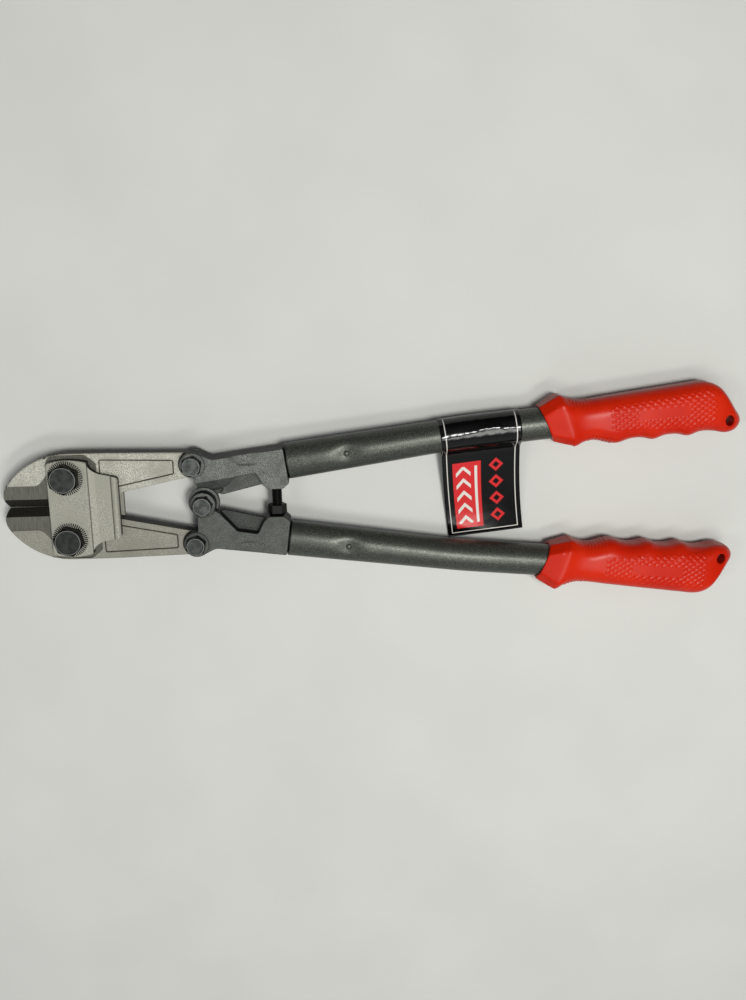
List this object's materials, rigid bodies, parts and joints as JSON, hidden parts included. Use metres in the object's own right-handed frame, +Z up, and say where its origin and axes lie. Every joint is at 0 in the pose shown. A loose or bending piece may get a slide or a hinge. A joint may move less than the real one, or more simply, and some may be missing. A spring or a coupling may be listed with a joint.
{
  "type": "bolt cutters",
  "caption": "Compound-lever bolt cutters with forged jaws tied by straps, cast brackets on bent tube handles, moulded grips with finger hollows, a stop screw and a flag label.",
  "frame": {"origin": "under the middle of the closed tool lying flat, level with the lowest bolt ends", "axes": "+X from the jaws to the grips, +Y across the tool towards the upper handle, +Z up through the bolt heads"},
  "size_m": [0.4499, 0.1346, 0.0359],
  "materials": {
    "jaw_steel": "warm silver metallic with a fine grain, ground grey at the cutting edge",
    "strap_steel": "warm silver metallic",
    "dark_bolt": "black oxide, a little worn on the flat tops",
    "black_screw": "black oxide",
    "bracket_paint": "mid-grey metallic paint over a casting",
    "tube_paint": "dark grey metallic satin paint",
    "grip_plastic": "glossy orange-red",
    "label_film": "glossy black film with a plain red and white print"
  },
  "bodies": {
    "lower_handle": {"lower_bracket": "bracket_paint", "lower_tube": "tube_paint", "lower_tube_rivet": "tube_paint", "lower_grip": "grip_plastic", "lower_tail_bolt": "dark_bolt", "lower_tail_nut": "dark_bolt", "centre_bolt": "dark_bolt", "centre_nut": "dark_bolt"},
    "upper_handle": {"upper_bracket": "bracket_paint", "upper_tube": "tube_paint", "upper_tube_rivet": "tube_paint", "upper_grip": "grip_plastic", "upper_tail_bolt": "dark_bolt", "upper_tail_nut": "dark_bolt", "stop_screw": "black_screw", "flag_label": "label_film"},
    "upper_jaw": {"upper_jaw": "jaw_steel"},
    "lower_jaw": {"lower_jaw": "jaw_steel"},
    "head_link": {"front_strap": "strap_steel", "rear_strap": "strap_steel", "upper_jaw_bolt": "dark_bolt", "lower_jaw_bolt": "dark_bolt", "upper_jaw_nut": "dark_bolt", "lower_jaw_nut": "dark_bolt"}
  },
  "joints": [
    {"name": "handle_hinge", "type": "hinge", "parent": "lower_handle", "child": "upper_handle", "pos_m": [-0.10515, 0, 0.01905], "axis": [0, 0, 1], "range_deg": [0, 80]},
    {"name": "lower_jaw_hinge", "type": "hinge", "parent": "lower_handle", "child": "lower_jaw", "pos_m": [-0.11025, -0.0247, 0.01905], "axis": [0, 0, 1], "range_deg": [0, 46.5]},
    {"name": "upper_jaw_hinge", "type": "hinge", "parent": "upper_handle", "child": "upper_jaw", "pos_m": [-0.11025, 0.0247, 0.01905], "axis": [0, 0, 1], "range_deg": [-46.5, 0]},
    {"name": "link_hinge", "type": "hinge", "parent": "upper_jaw", "child": "head_link", "pos_m": [-0.18585, 0.0191, 0.01905], "axis": [0, 0, 1], "range_deg": [0, 6.5]}
  ],
  "couplings": [
    {"joint": "lower_jaw_hinge", "follows": "handle_hinge", "ratio": 0.58},
    {"joint": "upper_jaw_hinge", "follows": "handle_hinge", "ratio": -0.58},
    {"joint": "link_hinge", "follows": "handle_hinge", "ratio": 0.08}
  ]
}
